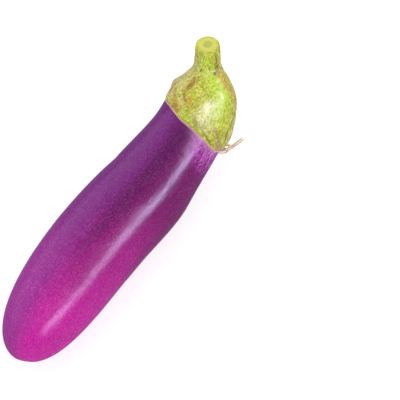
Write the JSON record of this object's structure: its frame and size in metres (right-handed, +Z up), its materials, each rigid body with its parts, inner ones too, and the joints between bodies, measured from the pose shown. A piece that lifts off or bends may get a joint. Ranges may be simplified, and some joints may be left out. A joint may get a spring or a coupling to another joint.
{
  "type": "eggplant",
  "caption": "Long purple eggplant with a green calyx and a short cut stem, lying on its side with its neck curving up.",
  "frame": {"origin": "centre of the small flat spot that the fruit rests on", "axes": "+X along the fruit from the blossom end to the stem, +Z up, +Y across the fruit"},
  "size_m": [0.2269, 0.0604, 0.0819],
  "materials": {
    "skin": "glossy purple skin, brighter towards the blossom end, with fine light specks",
    "calyx": "satin yellow-green, mottled, with russet edges and a paler cut face"
  },
  "bodies": {
    "root": {"fruit": "skin", "calyx_and_stem": "calyx"}
  },
  "joints": []
}
